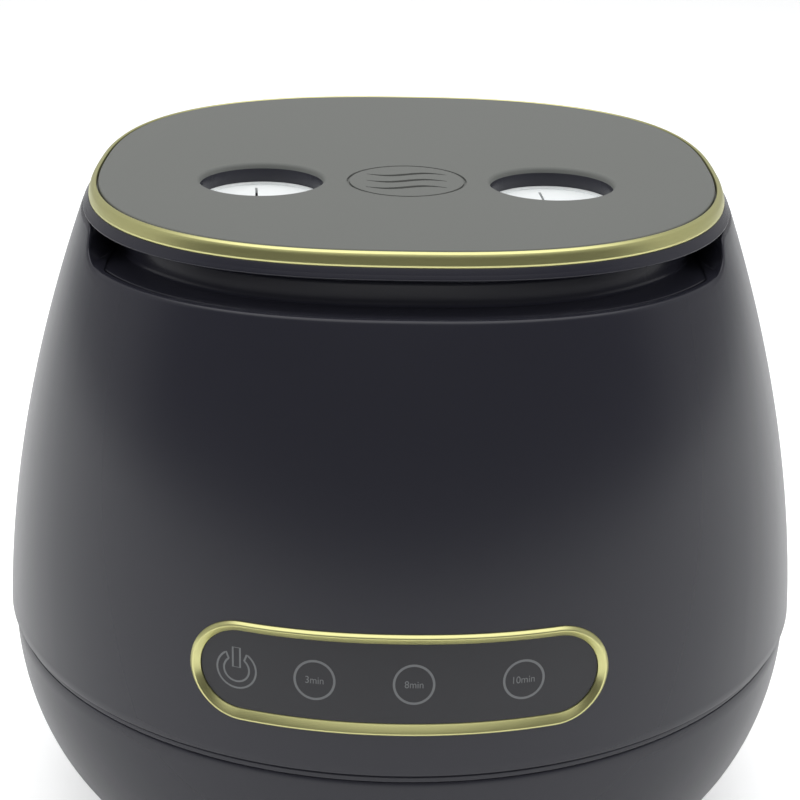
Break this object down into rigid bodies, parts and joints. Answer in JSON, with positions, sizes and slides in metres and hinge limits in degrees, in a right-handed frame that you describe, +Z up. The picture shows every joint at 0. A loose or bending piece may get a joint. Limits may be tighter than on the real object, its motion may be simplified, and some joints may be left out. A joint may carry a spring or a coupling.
{
  "type": "facial steamer",
  "caption": "Round countertop steamer pot that squares off to a hinged lid with two steam holes, gold trim ring, front finger recess and a touch control window.",
  "frame": {"origin": "centre of the bounding box's bottom, on the surface that the feet stand on", "axes": "+Z up through the body's centre, +Y towards the lid hinge and cord gland, -Y towards the control window, +X to the user's right"},
  "size_m": [0.24, 0.2402, 0.2004],
  "materials": {
    "gloss_black": "polished black plastic",
    "black_rubber": "matte rubber",
    "lid_grey": "fine satin",
    "gold_trim": "polished pale gold plating",
    "window_black": "printed acrylic",
    "matte_black": "moulded",
    "white_plastic": "smooth",
    "white_silicone": "soft",
    "grey_silicone": "soft",
    "red_silicone": "soft",
    "stainless": "brushed",
    "zinc_steel": "plated",
    "pan_aluminium": "satin",
    "element_sheath": "heat darkened sheath",
    "board_green": "solder mask",
    "ceramic_white": "glazed ceramic",
    "coil_yellow": "taped winding",
    "relay_blue": "moulded",
    "terminal_green": "moulded",
    "spring_brass": "plated",
    "led_clear": "clear lens",
    "wire_red": "wire sleeve"
  },
  "bodies": {
    "body": {"base_housing": "gloss_black", "bottom_cover": "matte_black", "cover_screws": "zinc_steel", "rubber_feet": "black_rubber", "housing_screws": "zinc_steel", "seam_band": "gloss_black", "cord_gland": "matte_black", "gland_nut": "matte_black", "power_board": "board_green", "power_board_screws": "zinc_steel", "transformer": "coil_yellow", "relay": "relay_blue", "capacitor": "matte_black", "terminal_block": "terminal_green", "upper_housing": "gloss_black", "top_deck": "gloss_black", "deck_screws": "zinc_steel", "steam_chamber": "stainless", "chamber_screws": "zinc_steel", "heating_pan": "pan_aluminium", "pan_seal": "red_silicone", "pan_clamp_ring": "zinc_steel", "pan_screws": "zinc_steel", "heating_element": "element_sheath", "thermostat": "ceramic_white", "thermal_fuse": "ceramic_white", "wiring": "wire_red", "control_bezel": "gold_trim", "control_window": "window_black", "window_carrier": "matte_black", "control_board": "board_green", "control_board_screws": "zinc_steel", "touch_springs": "spring_brass", "indicator_leds": "led_clear", "buzzer": "matte_black", "hinge_bracket": "zinc_steel", "hinge_bracket_screws": "zinc_steel", "hinge_pin": "zinc_steel"},
    "lid": {"lid_frame": "gloss_black", "lid_panel": "lid_grey", "lid_trim_ring": "gold_trim", "lid_liner": "white_plastic", "lid_screws": "zinc_steel", "lid_seal": "grey_silicone", "vent_collar_left": "gloss_black", "vent_collar_right": "gloss_black", "vent_disc_left": "white_silicone", "vent_disc_right": "white_silicone"},
    "tray": {"steam_tray": "white_plastic", "tray_knob": "matte_black"}
  },
  "joints": [
    {"name": "lid_hinge", "type": "hinge", "parent": "body", "child": "lid", "pos_m": [0, 0.0985, 0.1905], "axis": [-1, 0, 0], "range_deg": [0, 100]},
    {"name": "tray_lift", "type": "slide", "parent": "body", "child": "tray", "axis": [0, 0, 1], "range_m": [0, 0.065]}
  ]
}
